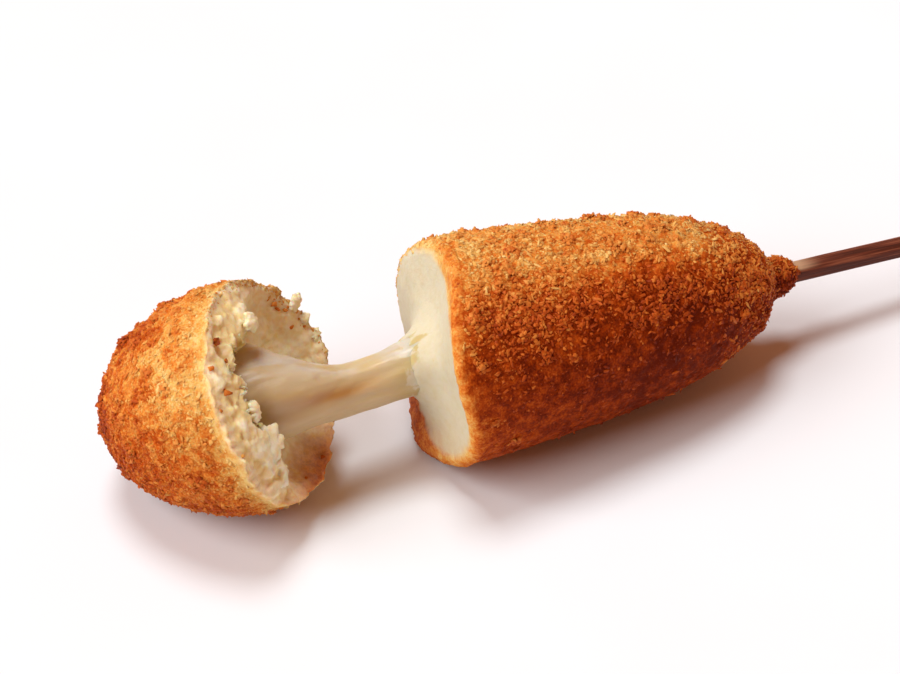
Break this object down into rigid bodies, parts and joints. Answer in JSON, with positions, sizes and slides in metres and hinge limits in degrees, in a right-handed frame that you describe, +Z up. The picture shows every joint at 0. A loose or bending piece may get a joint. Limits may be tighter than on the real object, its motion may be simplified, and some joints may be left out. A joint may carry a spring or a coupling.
{
  "type": "corn dog",
  "caption": "Crumb-coated fried corn dog on a stick, lying down and torn open, its end joined to the body by a drawn strand of melted cheese.",
  "frame": {"origin": "middle of the small flat spot under the body, on the surface it lies on", "axes": "+X along the body towards the stick, +Z up, +Y away from the side that the torn tip opens to"},
  "size_m": [0.2581, 0.0587, 0.0515],
  "materials": {
    "crust": "fried crumb coating, golden to red-brown, over cream-coloured bread",
    "cheese": "smooth melted cheese, ivory, with a soft gloss",
    "stick_wood": "red-brown wood with lengthwise grain"
  },
  "bodies": {
    "root": {"body": "crust", "tip": "crust", "cheese": "cheese", "stick": "stick_wood"}
  },
  "joints": []
}
